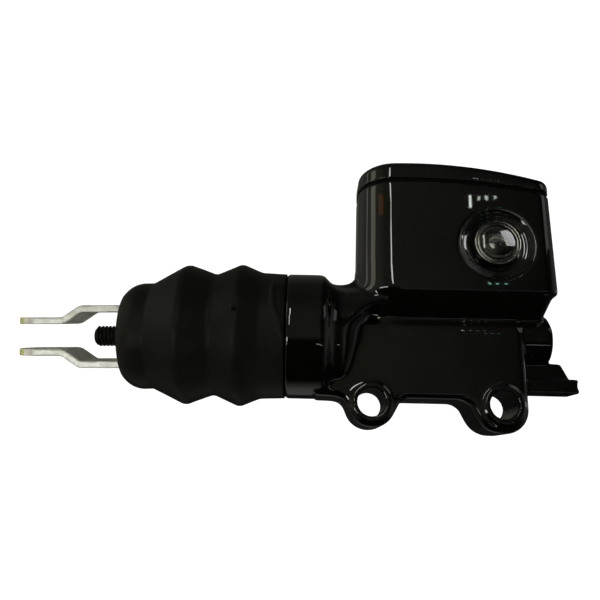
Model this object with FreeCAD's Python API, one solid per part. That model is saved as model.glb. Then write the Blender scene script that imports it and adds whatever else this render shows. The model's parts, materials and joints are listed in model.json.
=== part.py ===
"""Hydraulic brake master cylinder with its own reservoir, worked by a pushrod and clevis.

Row frame, in millimetres: the origin is midway between the two mounting holes, on the mounting face.
+X runs along the bore from the clevis to the outlet, +Y points out of the mounting face, +Z goes up to
the cover. A section written as (x, r) is turned about the bore axis.
"""
import FreeCAD, Part
import math
import os

V = FreeCAD.Vector

# ---- mounting ----
BOLT_SPACING = 47.6
BOLT_HOLE_R = 5.15
EAR_R = 9.1
EAR_RING_R = 7.4
EAR_RING_RISE = 0.7

# ---- bore axis and the block cast round it ----
BLOCK_HALF = 10.0
AXIS_Y = -BLOCK_HALF
AXIS_Z = 25.5
BLOCK_X0 = -36.0
BLOCK_X1 = 33.0
BLOCK_BOTTOM_Z = 1.5
FRONT_Y = AXIS_Y - BLOCK_HALF
BLOCK_EDGE_R = 2.6
LUG_X1 = 53.1
LUG_Z0 = 4.9
LUG_Z1 = 10.3
LUG_TOP_Z = 16.4
LUG_Y0 = -16.0
LUG_Y1 = -5.0
LUG_RIB_HALF = 2.6

# ---- collar and neck, beside the boot ----
COLLAR_R = 23.9
COLLAR_X0 = -55.8
COLLAR_X1 = -41.3
NECK_R = 19.4
NECK_X1 = -34.0
NECK_FOOT_X = -30.0
SADDLE_X1 = -14.0
SADDLE_HALF = 8.0
SPIGOT_R = 20.8
SPIGOT_X0 = -69.8
BEAD_X0 = COLLAR_X0 - 4.4
BEAD_X1 = COLLAR_X0 - 1.4
BEAD_DEPTH = 1.4

# ---- reservoir ----
RES_X0 = -28.9
RES_X1 = 44.4
RES_HALF = 18.5
RES_BOTTOM_Z = 39.2
RES_TAPER_Z = 32.0
RES_DRAFT = 0.6
RES_LEFT_R = 14.0
RES_RIGHT_R = 5.0
RES_WALL = 3.4
RES_FLOOR_Z = 41.0

# ---- cover: the joint and the crown are both arched along X ----
ARCH_X = -9.0
JOINT_Z = 83.5
JOINT_R = 270.0
CROWN_Z = 92.2
CROWN_R = 185.0
COVER_EDGE_R = 3.2
COVER_WALL = 5.2
COVER_TOP_T = 2.8
GASKET_T = 1.2
GASKET_INSET = 0.6
TRAY_DEPTH = 7.0
TRAY_WALL = 1.2
COVER_SCREW_X = (-21.5, 36.5)
SCREW_R = 2.0
SCREW_POST_R = 4.6
SCREW_HEAD_R = 4.0
SCREW_HEAD_T = 2.2
SCREW_TIP_Z = 70.0
SCREW_HOLE_Z = 66.0
SCREW_HEAD_SINK = 1.9
CROSS_HALF = 2.2
CROSS_DEPTH = 1.3

# ---- sight glass, in the reservoir's front wall ----
SIGHT_X = 22.2
SIGHT_Z = 58.5
SIGHT_DISH_R = 14.4
SIGHT_DISH_DEPTH = 3.0
BEZEL_R = 8.5
LENS_R = 7.0
SIGHT_SEAT_DEPTH = 5.2
SIGHT_BOSS_R = 12.4
SIGHT_BOSS_DEPTH = 7.6

# ---- bore, ports and outlet ----
BORE_R = 7.144
BORE_END_X = 24.2
WASHER_SEAT_X = -63.1
MOUTH_R = 8.8
BOSS_R = 9.6
BOSS_X1 = 43.6
OUTLET_R = 4.76
OUTLET_DEPTH = 13.5
DRILL_R = 2.0
INLET_PORT_X = -17.5
INLET_PORT_R = 1.6
BYPASS_PORT_X = -7.2
BYPASS_PORT_R = 0.4

# ---- piston train ----
RUNNING_GAP = 0.04
PISTON_R = BORE_R - RUNNING_GAP
PISTON_X0 = WASHER_SEAT_X + 0.1
PISTON_X1 = -13.6
SEAL_GROOVE_X0 = -50.0
SEAL_GROOVE_X1 = -46.4
SEAL_GROOVE_R = 5.0
WAIST_X0 = -44.0
WAIST_X1 = -15.8
WAIST_R = 5.6
NOSE_R = 3.5
NOSE_X1 = -7.6
CUP_R = BORE_R - 0.02
STROKE = 14.0
STOP_WASHER_T = 1.5
STOP_WASHER_HOLE_R = 4.55
SNAP_RING_T = 1.1
SNAP_GROOVE_DEPTH = 0.9
SNAP_LUG_Y = 3.3
SEAT_X0 = PISTON_X1 + 2.75
SEAT_FLANGE_T = 3.2
SPRING_X0 = SEAT_X0 + SEAT_FLANGE_T + 0.05
SPRING_WIRE_R = 0.7
SPRING_COIL_R = 5.1
SPRING_TURNS = 7

# ---- pushrod ----
BALL_X = -58.0
BALL_R = 5.5
SOCKET_R = 5.6
SHANK_R = 3.2
THREAD_R = 3.97
THREAD_X1 = -82.0
THREAD_X0 = -129.6
NUT_FLATS = 12.7
NUT_T = 5.0

# ---- how far the pushrod hangs below straight, turning on its ball ----
DROOP_DEG = 1.25

# ---- clevis: a bent strip, rolled a little about the bore axis ----
CLEVIS_ROLL_DEG = 13.2
STRIP_T = 2.6
STRIP_W = 19.0
CLEVIS_BASE_X = -114.8
ROOT_HALF = 11.8
TIP_HALF = 7.25
JOGGLE_X1 = -133.1
JOGGLE_X0 = -139.8
TIP_X = -158.8
PIN_X = TIP_X + STRIP_W / 2
PIN_HOLE_R = 4.05

# ---- boot ----
BOOT_X0 = -116.6
BOOT_SETTLED_X = -86.0
BOOT_X1 = COLLAR_X0
BOOT_WALL = 2.0
RIDGE_X = (-93.5, -72.8)
RIDGE_R = (26.8, 27.2)
VALLEY_X = -82.8
VALLEY_R = 23.4
NOSE_BAND_X = 10.6
NOSE_BAND_R = 20.4
MOUTH_RIM_R = 15.4
POCKET_R = 17.6
PLATE_R = 15.9
PLATE_T = 1.6
PLATE_X1 = CLEVIS_BASE_X + PLATE_T


# ---------------------------------------------------------------- geometry helpers
def rounded_wire(corners, place):
    """Closed wire through (u, v, radius) corners; place turns (u, v) into a point."""
    starts, ends, mids = [], [], []
    count = len(corners)
    for i, (u, v, radius) in enumerate(corners):
        here = V(u, v, 0)
        before = V(*corners[i - 1][:2], 0) - here
        after = V(*corners[(i + 1) % count][:2], 0) - here
        before.normalize()
        after.normalize()
        half = before.getAngle(after) / 2
        if radius <= 0 or abs(half - math.pi / 2) < 1e-6:
            starts.append(here)
            ends.append(here)
            mids.append(None)
            continue
        reach = radius / math.tan(half)
        bisector = before + after
        bisector.normalize()
        starts.append(here + before * reach)
        ends.append(here + after * reach)
        mids.append(here + bisector * (radius / math.sin(half) - radius))
    edges = []
    for i in range(count):
        if mids[i]:
            arc = [place(p.x, p.y) for p in (starts[i], mids[i], ends[i])]
            edges.append(Part.Arc(*arc).toShape())
        a = place(ends[i].x, ends[i].y)
        b = place(starts[(i + 1) % count].x, starts[(i + 1) % count].y)
        if a.distanceToPoint(b) > 1e-6:
            edges.append(Part.LineSegment(a, b).toShape())
    return Part.Wire(edges)


def turned_x(section):
    """Solid turned about the bore axis from (x, r, corner radius) corners."""
    wire = rounded_wire(section, lambda x, r: V(x, AXIS_Y, AXIS_Z + r))
    return Part.Face(wire).revolve(V(0, AXIS_Y, AXIS_Z), V(1, 0, 0), 360)


def sharp(points):
    return [(u, v, 0) for u, v in points]


def turned_sight(section):
    """Solid turned about the sight glass axis from (depth, r) corners; depth grows into the wall."""
    front = AXIS_Y - RES_HALF
    wire = rounded_wire(section, lambda depth, r: V(SIGHT_X, front + depth, SIGHT_Z + r))
    return Part.Face(wire).revolve(V(SIGHT_X, 0, SIGHT_Z), V(0, 1, 0), 360)


def cylinder_x(radius, x0, x1, y=AXIS_Y, z=AXIS_Z):
    return Part.makeCylinder(radius, x1 - x0, V(x0, y, z), V(1, 0, 0))


def cylinder_y(radius, y0, y1, x, z):
    return Part.makeCylinder(radius, y1 - y0, V(x, y0, z), V(0, 1, 0))


def cylinder_z(radius, z0, z1, x, y=AXIS_Y):
    return Part.makeCylinder(radius, z1 - z0, V(x, y, z0), V(0, 0, 1))


def box(x0, x1, y0, y1, z0, z1):
    return Part.makeBox(x1 - x0, y1 - y0, z1 - z0, V(x0, y0, z0))


def slab_xz(corners, y0, y1):
    """Solid of an (x, z) outline between two depths."""
    face = Part.Face(rounded_wire(corners, lambda x, z: V(x, y0, z)))
    return face.extrude(V(0, y1 - y0, 0))


def tidy(shape):
    """One clean solid from the result of a boolean operation."""
    return shape.removeSplitter().Solids[0]


def drooped(shape, share=1.0):
    """Lets a piece hang down about the ball's centre, all the way or for a share of it."""
    shape.rotate(V(BALL_X, AXIS_Y, AXIS_Z), V(0, 1, 0), -DROOP_DEG * share)
    return shape


def rolled(shape):
    """Turns a piece of the clevis train about the bore axis to its resting roll."""
    shape.rotate(V(0, AXIS_Y, AXIS_Z), V(1, 0, 0), CLEVIS_ROLL_DEG)
    return shape


# ---------------------------------------------------------------- reservoir outline and arches
def reservoir_wire(inset, z):
    """The reservoir's plan outline, drawn in by inset, at height z."""
    y0, y1 = AXIS_Y - RES_HALF + inset, AXIS_Y + RES_HALF - inset
    x0, x1 = RES_X0 + inset, RES_X1 - inset
    left, right = RES_LEFT_R - inset, max(RES_RIGHT_R - inset, 1.2)
    corners = [(x0, y0, left), (x1, y0, right), (x1, y1, right), (x0, y1, left)]
    return rounded_wire(corners, lambda x, y: V(x, y, z))


def reservoir_prism(inset, z0, z1):
    """The outline carried up from z0 to z1, with the casting's draft: it narrows towards the cover."""
    rate = RES_DRAFT / (JOINT_Z - RES_BOTTOM_Z)
    ends = [reservoir_wire(inset + rate * (z - RES_BOTTOM_Z), z) for z in (z0, z1)]
    return Part.makeLoft(ends, True, True)


def arch(top_z, radius):
    """Solid below an arch whose highest line, along Y, is at ARCH_X and top_z."""
    return Part.makeCylinder(radius, 100, V(ARCH_X, AXIS_Y - 50, top_z - radius), V(0, 1, 0))


def joint_arch(lift=0.0):
    return arch(JOINT_Z + lift, JOINT_R + lift)


def arch_z(x, top_z, radius):
    return top_z - radius + math.sqrt(radius ** 2 - (x - ARCH_X) ** 2)


def screw_seat_z(x):
    """Height of the flat that a cover screw's head bears on."""
    return arch_z(x, CROWN_Z, CROWN_R) - SCREW_HEAD_SINK


def end_wall(x):
    """The reservoir's end wall nearest to a cover screw."""
    return RES_X0 if x < 0 else RES_X1


def post_space(x, reach, half, bottom=60.0):
    """Room for a screw post and the web that ties it to the wall at x = reach."""
    low, high = sorted((x, reach))
    web = box(low, high, AXIS_Y - half, AXIS_Y + half, bottom, CROWN_Z + 4)
    return cylinder_z(half, bottom, CROWN_Z + 4, x).fuse(web)


# ---------------------------------------------------------------- casting
def block_and_ears():
    """The barrel, the web under it and the two ears, seen from the front as one outline."""
    right = BLOCK_X1
    ear = BOLT_SPACING / 2
    foot = -EAR_R - 1.1
    outline = [
        (right, AXIS_Z, 0),
        (right, foot, 9.0),
        (ear - 7.3, foot, 9.5),
        (ear - 13.1, BLOCK_BOTTOM_Z, 6.0),
        (-ear + 11.2, BLOCK_BOTTOM_Z, 3.5),
        (-ear + 5.4, -EAR_R, EAR_R - 0.1),
        (-ear - 6.0, -EAR_R, EAR_R - 0.1),
        (-ear - 10.4, BLOCK_BOTTOM_Z, 5.0),
        (COLLAR_X1 - 3, BLOCK_BOTTOM_Z + 0.3, 0),
        (COLLAR_X1 - 3, AXIS_Z, 0),
    ]
    web = slab_xz(outline, FRONT_Y, 0)
    front_edges = [
        e for e in web.Edges
        if all(abs(v.Y - FRONT_Y) < 1e-6 for v in e.Vertexes)
        and e.CenterOfMass.z < AXIS_Z - 1 and e.CenterOfMass.x > COLLAR_X1 - 2.9
    ]
    web = web.makeFillet(BLOCK_EDGE_R, front_edges)
    barrel = turned_x([
        (BLOCK_X0, 0, 0), (BLOCK_X0, BLOCK_HALF, 0), (right, BLOCK_HALF, BLOCK_EDGE_R), (right, 0, 0)])
    solid = web.fuse(barrel)
    for x in (-ear, ear):
        ring = cylinder_y(EAR_RING_R, FRONT_Y - EAR_RING_RISE, FRONT_Y + 1, x, 0)
        outer = [e for e in ring.Edges if abs(e.CenterOfMass.y - (FRONT_Y - EAR_RING_RISE)) < 1e-6]
        solid = solid.fuse(ring.makeFillet(EAR_RING_RISE * 0.9, outer))
    return solid


def collar_and_neck():
    return turned_x([
        (SPIGOT_X0, 0, 0),
        (SPIGOT_X0, SPIGOT_R, 1.2),
        (BEAD_X0, SPIGOT_R, 0),
        (BEAD_X0, SPIGOT_R - BEAD_DEPTH, 0),
        (BEAD_X1, SPIGOT_R - BEAD_DEPTH, 0),
        (BEAD_X1, SPIGOT_R, 0),
        (COLLAR_X0, SPIGOT_R, 0),
        (COLLAR_X0, COLLAR_R - 1.0, 0),
        (COLLAR_X0 + 1.0, COLLAR_R, 0.5),
        (COLLAR_X1, COLLAR_R, 1.5),
        (COLLAR_X1 + 3.2, NECK_R + 0.4, 2.0),
        (NECK_X1, NECK_R, 3.0),
        (NECK_FOOT_X, BLOCK_HALF, 4.0),
        (-22.0, BLOCK_HALF, 0),
        (-22.0, 0, 0),
    ])


def saddle():
    """The neck's upper side carried on to the reservoir, with a hollow curve up to its left wall."""
    top_z = AXIS_Z + NECK_R
    shoulder = slab_xz([
        (NECK_X1 - 2, AXIS_Z + 1, 0),
        (NECK_X1 + 2, AXIS_Z + 1, 4.0),
        (RES_X0 + 4, AXIS_Z + 8, 6.0),
        (SADDLE_X1, RES_BOTTOM_Z - 1, 0),
        (SADDLE_X1, top_z + 1, 0),
        (NECK_X1 - 2, top_z + 1, 0),
    ], AXIS_Y - NECK_R, AXIS_Y + NECK_R)
    shoulder = shoulder.common(cylinder_x(NECK_R, NECK_X1 - 2, SADDLE_X1))
    rise = slab_xz([
        (NECK_X1 - 3.5, top_z - 3, 0),
        (NECK_X1 - 3.5, top_z, 0),
        (RES_X0, top_z, 5.0),
        (RES_X0, top_z + 8, 0),
        (RES_X0 + 4, top_z + 8, 0),
        (RES_X0 + 4, top_z - 3, 0),
    ], AXIS_Y - SADDLE_HALF, AXIS_Y + SADDLE_HALF)
    return shoulder.fuse(rise)


def reservoir_shell():
    body = reservoir_prism(0, RES_BOTTOM_Z, JOINT_Z + 2)
    bottom = [e for e in body.Edges if all(abs(v.Z - RES_BOTTOM_Z) < 1e-6 for v in e.Vertexes)]
    body = body.makeFillet(1.6, bottom)
    taper_side = RES_HALF - BLOCK_HALF + 1.6
    foot = [
        (RES_X0 + 6, AXIS_Y - RES_HALF + taper_side, 4.0),
        (RES_X1 - 3.6, AXIS_Y - RES_HALF + taper_side, 2.0),
        (RES_X1 - 3.6, AXIS_Y + RES_HALF - taper_side, 2.0),
        (RES_X0 + 6, AXIS_Y + RES_HALF - taper_side, 4.0),
    ]
    lower = rounded_wire(foot, lambda x, y: V(x, y, RES_TAPER_Z))
    taper = Part.makeLoft([lower, reservoir_wire(1.2, RES_BOTTOM_Z + 1.0)], True, True)
    return body.fuse(taper).common(joint_arch())


def hose_lug():
    """Slab and rib at the outlet end that keep a hose fitting from turning."""
    root = BLOCK_X1 - 4
    notch_z = (LUG_Z0 + LUG_Z1) / 2
    slab = slab_xz([
        (root, LUG_Z0, 0), (LUG_X1, LUG_Z0, 0.8), (LUG_X1 - 0.8, notch_z, 1.6),
        (LUG_X1 - 0.2, LUG_Z1, 0.6), (root, LUG_Z1, 0)], LUG_Y0, LUG_Y1)
    middle = (LUG_Y0 + LUG_Y1) / 2 + 0.5
    rib = slab_xz([
        (root, LUG_Z0 + 3, 0), (LUG_X1 - 1.7, LUG_Z0 + 3, 0), (LUG_X1 - 2.3, LUG_Z1 + 0.5, 1.5),
        (LUG_X1 - 5.1, LUG_TOP_Z, 1.4), (LUG_X1 - 9.1, LUG_TOP_Z + 0.2, 0), (root, LUG_TOP_Z - 0.8, 0)],
        middle - LUG_RIB_HALF, middle + LUG_RIB_HALF)
    return slab.fuse(rib)


def reservoir_cavity():
    cavity = reservoir_prism(RES_WALL, RES_FLOOR_Z, JOINT_Z + 4)
    floor = [e for e in cavity.Edges if all(abs(v.Z - RES_FLOOR_Z) < 1e-6 for v in e.Vertexes)]
    cavity = cavity.makeFillet(1.5, floor)
    for x in COVER_SCREW_X:
        cavity = cavity.cut(post_space(x, end_wall(x), SCREW_POST_R, RES_FLOOR_Z - 1))
    front = AXIS_Y - RES_HALF
    boss = cylinder_y(SIGHT_BOSS_R, front, front + SIGHT_BOSS_DEPTH, SIGHT_X, SIGHT_Z)
    return cavity.cut(boss)


def bore_and_ports():
    washer_x = WASHER_SEAT_X - STOP_WASHER_T
    groove_x = washer_x - SNAP_RING_T - 0.1
    bore = turned_x(sharp([
        (SPIGOT_X0 - 1, 0), (SPIGOT_X0 - 1, MOUTH_R + 2.5), (SPIGOT_X0, MOUTH_R + 1.6),
        (SPIGOT_X0 + 1.6, MOUTH_R), (groove_x, MOUTH_R), (groove_x, MOUTH_R + SNAP_GROOVE_DEPTH),
        (washer_x, MOUTH_R + SNAP_GROOVE_DEPTH), (washer_x, MOUTH_R), (WASHER_SEAT_X, MOUTH_R),
        (WASHER_SEAT_X, BORE_R), (BORE_END_X, BORE_R), (BORE_END_X + 3, DRILL_R),
        (BOSS_X1 - OUTLET_DEPTH, DRILL_R), (BOSS_X1 - OUTLET_DEPTH, OUTLET_R),
        (BOSS_X1 + 2, OUTLET_R), (BOSS_X1 + 2, 0)]))
    inlet = cylinder_z(INLET_PORT_R, AXIS_Z + 5, RES_FLOOR_Z + 1, INLET_PORT_X)
    bypass = cylinder_z(BYPASS_PORT_R, AXIS_Z + 5, RES_FLOOR_Z + 1, BYPASS_PORT_X)
    return bore.fuse(inlet).fuse(bypass)


def sight_dish():
    """Dished recess round the sight glass, its stepped pocket and the way through to the reservoir."""
    steps = sharp([
        (-1, 0), (-1, SIGHT_DISH_R + 0.8), (0, SIGHT_DISH_R), (0.5, SIGHT_DISH_R - 0.5),
        (SIGHT_DISH_DEPTH * 0.6, SIGHT_DISH_R - 1.9), (SIGHT_DISH_DEPTH, BEZEL_R + 1.4),
        (SIGHT_DISH_DEPTH, BEZEL_R),
        (SIGHT_SEAT_DEPTH, BEZEL_R), (SIGHT_SEAT_DEPTH, LENS_R - 1.3), (12, LENS_R - 1.3), (12, 0)])
    return turned_sight(steps)


def body_casting():
    solid = block_and_ears().fuse([collar_and_neck(), saddle(), reservoir_shell(), hose_lug()])
    boss = turned_x([
        (BLOCK_X1 - 3, 0, 0), (BLOCK_X1 - 3, BOSS_R, 0), (BOSS_X1, BOSS_R, 0.8), (BOSS_X1, 0, 0)])
    solid = solid.fuse(boss)
    solid = solid.cut([reservoir_cavity(), bore_and_ports(), sight_dish()])
    for x in (-BOLT_SPACING / 2, BOLT_SPACING / 2):
        solid = solid.cut(cylinder_y(BOLT_HOLE_R, FRONT_Y - 3, 2, x, 0))
    for x in COVER_SCREW_X:
        solid = solid.cut(cylinder_z(SCREW_R, SCREW_HOLE_Z, JOINT_Z + 5, x))
    return tidy(solid)


# ---------------------------------------------------------------- cover, gasket, screws
def reservoir_cover():
    lid = reservoir_prism(0, JOINT_Z - 12, CROWN_Z + 4).common(arch(CROWN_Z, CROWN_R))
    top = [e for e in lid.Edges if e.CenterOfMass.z > JOINT_Z - 6 and e.BoundBox.ZLength < 12
           and min(v.Z for v in e.Vertexes) > JOINT_Z - 9]
    lid = lid.makeFillet(COVER_EDGE_R, top)
    lid = lid.cut(joint_arch(GASKET_T))
    hollow = reservoir_prism(COVER_WALL, JOINT_Z - 14, CROWN_Z + 4)
    hollow = hollow.common(arch(CROWN_Z - COVER_TOP_T, CROWN_R - COVER_TOP_T))
    for x in COVER_SCREW_X:
        hollow = hollow.cut(cylinder_z(SCREW_POST_R + 0.8, 60, 100, x))
    lid = lid.cut(hollow)
    for x in COVER_SCREW_X:
        seat = screw_seat_z(x)
        lid = lid.cut(cylinder_z(SCREW_HEAD_R + 0.4, seat, CROWN_Z + 4, x))
        lid = lid.cut(cylinder_z(SCREW_R + 0.3, SCREW_TIP_Z, CROWN_Z, x))
    return tidy(lid)


def cover_gasket():
    """Rubber gasket whose middle hangs into the reservoir as a shallow tray."""
    flange = reservoir_prism(GASKET_INSET, JOINT_Z - 14, CROWN_Z).common(joint_arch(GASKET_T))
    flange = flange.cut(joint_arch())
    inner = RES_WALL + 1.0
    tray = reservoir_prism(inner, JOINT_Z - 13, CROWN_Z).common(joint_arch(GASKET_T))
    tray = tray.cut(joint_arch(-TRAY_DEPTH))
    inside = reservoir_prism(inner + TRAY_WALL, JOINT_Z - 20, CROWN_Z + 3)
    inside = inside.cut(joint_arch(TRAY_WALL - TRAY_DEPTH))
    mould = flange.fuse(tray).cut(inside)
    half = SCREW_POST_R + 0.4
    for x in COVER_SCREW_X:
        reach = end_wall(x)
        post = post_space(x, reach, half)
        wall = post_space(x, reach - math.copysign(inner, reach), half + TRAY_WALL)
        wall = wall.common(joint_arch(GASKET_T)).cut(joint_arch(-TRAY_DEPTH))
        wall = wall.common(reservoir_prism(inner, JOINT_Z - 24, CROWN_Z))
        mould = mould.fuse(wall).cut(post.common(joint_arch())).cut(cylinder_z(SCREW_R + 0.2, 60, 100, x))
    return tidy(mould)


def cover_screws():
    """Pan head screws with a cross recess, in the cover's two counterbores."""
    screws = []
    for x in COVER_SCREW_X:
        seat = screw_seat_z(x)
        head = cylinder_z(SCREW_HEAD_R, seat, seat + SCREW_HEAD_T, x)
        rim = [e for e in head.Edges if abs(e.CenterOfMass.z - seat - SCREW_HEAD_T) < 1e-6]
        head = head.makeFillet(1.2, rim)
        shank = cylinder_z(SCREW_R - 0.05, SCREW_TIP_Z, seat + 0.5, x)
        cross_z = seat + SCREW_HEAD_T - CROSS_DEPTH
        for dx, dy in ((CROSS_HALF, 0.5), (0.5, CROSS_HALF)):
            head = head.cut(box(x - dx, x + dx, AXIS_Y - dy, AXIS_Y + dy, cross_z, cross_z + 3))
        screws.append(tidy(head.fuse(shank)))
    return Part.makeCompound(screws)


# ---------------------------------------------------------------- sight glass
def sight_lens():
    return turned_sight([
        (SIGHT_SEAT_DEPTH - 0.05, 0, 0), (SIGHT_SEAT_DEPTH - 0.05, LENS_R, 0), (2.9, LENS_R, 0),
        (2.9, LENS_R - 1.2, 0), (1.1, LENS_R - 1.2, 0), (1.1, LENS_R, 0), (0.2, LENS_R, 0),
        (-0.9, LENS_R * 0.75, 4.0), (-1.3, 0, 0)])


def sight_bezel():
    return turned_sight(sharp([
        (SIGHT_SEAT_DEPTH - 0.05, LENS_R + 0.05), (SIGHT_SEAT_DEPTH - 0.05, BEZEL_R - 0.05),
        (-0.3, BEZEL_R - 0.05), (-0.9, BEZEL_R - 0.5), (-0.9, LENS_R + 0.55), (-0.3, LENS_R + 0.05)]))


def sight_o_ring():
    depth, ring_r, wire_r = 2.0, LENS_R - 0.62, 0.55
    centre = V(SIGHT_X, AXIS_Y - RES_HALF + depth, SIGHT_Z)
    return Part.makeTorus(ring_r, wire_r, centre, V(0, 1, 0))


# ---------------------------------------------------------------- inside the bore
def snap_ring():
    """Internal retaining ring with two drilled lugs at its gap."""
    x0 = WASHER_SEAT_X - STOP_WASHER_T - SNAP_RING_T - 0.05
    x1 = x0 + SNAP_RING_T
    ring = cylinder_x(MOUTH_R + SNAP_GROOVE_DEPTH - 0.1, x0, x1)
    ring = ring.cut(cylinder_x(MOUTH_R - 0.9, x0 - 1, x1 + 1))
    gap = SNAP_LUG_Y - 1.1
    ring = ring.cut(box(x0 - 1, x1 + 1, AXIS_Y - gap, AXIS_Y + gap, AXIS_Z - 12, AXIS_Z))
    lug_z = AXIS_Z - MOUTH_R + 1.4
    for y in (AXIS_Y - SNAP_LUG_Y, AXIS_Y + SNAP_LUG_Y):
        ring = ring.fuse(cylinder_x(1.5, x0, x1, y, lug_z)).cut(cylinder_x(0.7, x0 - 1, x1 + 1, y, lug_z))
    return tidy(ring)


def stop_washer():
    x1 = WASHER_SEAT_X - 0.02
    x0 = x1 - STOP_WASHER_T + 0.04
    disc = cylinder_x(MOUTH_R - 0.1, x0, x1)
    return tidy(disc.cut(cylinder_x(STOP_WASHER_HOLE_R, x0 - 1, x1 + 1)))


def piston():
    """Spool with a ball socket, a seal groove, a narrow waist and a nose that carries the cup."""
    spool = turned_x(sharp([
        (PISTON_X0, 0), (PISTON_X0, PISTON_R - 0.5), (PISTON_X0 + 0.5, PISTON_R), (SEAL_GROOVE_X0, PISTON_R),
        (SEAL_GROOVE_X0, SEAL_GROOVE_R), (SEAL_GROOVE_X1, SEAL_GROOVE_R), (SEAL_GROOVE_X1, PISTON_R),
        (WAIST_X0, PISTON_R), (WAIST_X0 + 1.5, WAIST_R), (WAIST_X1 - 1.4, WAIST_R), (WAIST_X1, PISTON_R),
        (PISTON_X1, PISTON_R), (PISTON_X1, NOSE_R), (NOSE_X1 + 1.2, NOSE_R), (NOSE_X1 + 1.2, 0)]))
    socket = cylinder_x(SOCKET_R, PISTON_X0 - 1, BALL_X).fuse(
        Part.makeSphere(SOCKET_R, V(BALL_X, AXIS_Y, AXIS_Z)))
    return tidy(spool.cut(socket))


def secondary_cup():
    x0 = SEAL_GROOVE_X0 + 0.1
    x1 = SEAL_GROOVE_X1 - 0.1
    inner = SEAL_GROOVE_R + 0.05
    return turned_x(sharp([
        (x0, inner), (x0, 6.4), (x0 + 0.5, CUP_R), (x0 + 1.3, 6.7), (x1 - 0.4, 6.7), (x1, CUP_R),
        (x1, inner)]))


def cup_shim():
    return turned_x(sharp([
        (PISTON_X1 + 0.02, NOSE_R + 0.05), (PISTON_X1 + 0.02, PISTON_R - 0.6),
        (PISTON_X1 + 0.4, PISTON_R - 0.6), (PISTON_X1 + 0.4, NOSE_R + 0.05)]))


def primary_cup():
    x0 = PISTON_X1 + 0.45
    return turned_x(sharp([
        (x0, NOSE_R + 0.05), (x0, 6.7), (x0 + 1.6, 6.8), (x0 + 4.2, CUP_R), (x0 + 4.4, CUP_R - 0.6),
        (x0 + 2.2, 5.2), (x0 + 2.2, NOSE_R + 0.05)]))


def spring_seat():
    """Brass thimble on the piston's nose that holds the cup on and centres the spring."""
    inner = NOSE_R + 0.05
    flange_x = SEAT_X0 + SEAT_FLANGE_T
    return turned_x(sharp([
        (SEAT_X0, inner), (SEAT_X0, 5.0), (flange_x - 0.8, 5.6), (flange_x, 5.6), (flange_x, 4.3),
        (flange_x + 1.8, 4.3), (flange_x + 1.8, inner)]))


def return_spring():
    length = BORE_END_X - SPRING_X0 - 2 * SPRING_WIRE_R - 0.1
    helix = Part.makeHelix(length / SPRING_TURNS, length, SPRING_COIL_R)
    wire_end = Part.Wire(Part.makeCircle(SPRING_WIRE_R, V(SPRING_COIL_R, 0, 0), V(0, 1, 0.12)))
    coil = Part.Wire(helix).makePipeShell([wire_end], True, True)
    coil.rotate(V(0, 0, 0), V(0, 1, 0), 90)
    coil.translate(V(SPRING_X0 + SPRING_WIRE_R + 0.05, AXIS_Y, AXIS_Z))
    return coil


# ---------------------------------------------------------------- pushrod train
def pushrod():
    """Rod with a ball at the piston end and a thread, drawn plain at its major radius, at the other."""
    rod = turned_x([
        (THREAD_X0, 0, 0), (THREAD_X0, THREAD_R - 1.1, 0), (THREAD_X0 + 1.1, THREAD_R, 0),
        (THREAD_X1, THREAD_R, 0), (THREAD_X1 + 0.8, SHANK_R, 0), (BALL_X, SHANK_R, 0), (BALL_X, 0, 0)])
    return drooped(tidy(rod.fuse(Part.makeSphere(BALL_R, V(BALL_X, AXIS_Y, AXIS_Z)))))


def jam_nut():
    corner = NUT_FLATS / 2 / math.cos(math.pi / 6)
    points = [
        V(PLATE_X1, AXIS_Y + corner * math.cos(i * math.pi / 3), AXIS_Z + corner * math.sin(i * math.pi / 3))
        for i in range(7)
    ]
    hexagon = Part.Face(Part.makePolygon(points)).extrude(V(NUT_T, 0, 0))
    chamfer = turned_x(sharp([
        (PLATE_X1, 0), (PLATE_X1, corner - 0.9), (PLATE_X1 + 0.6, corner + 0.2),
        (PLATE_X1 + NUT_T - 0.6, corner + 0.2), (PLATE_X1 + NUT_T, corner - 0.9), (PLATE_X1 + NUT_T, 0)]))
    nut = hexagon.common(chamfer).cut(cylinder_x(THREAD_R + 0.03, -130, -90))
    return drooped(rolled(tidy(nut)))


def boot_plate():
    """Round washer clamped behind the clevis that fills the boot's mouth."""
    disc = cylinder_x(PLATE_R, CLEVIS_BASE_X, PLATE_X1)
    return drooped(tidy(disc.cut(cylinder_x(THREAD_R + 0.1, -130, -90))))


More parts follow.
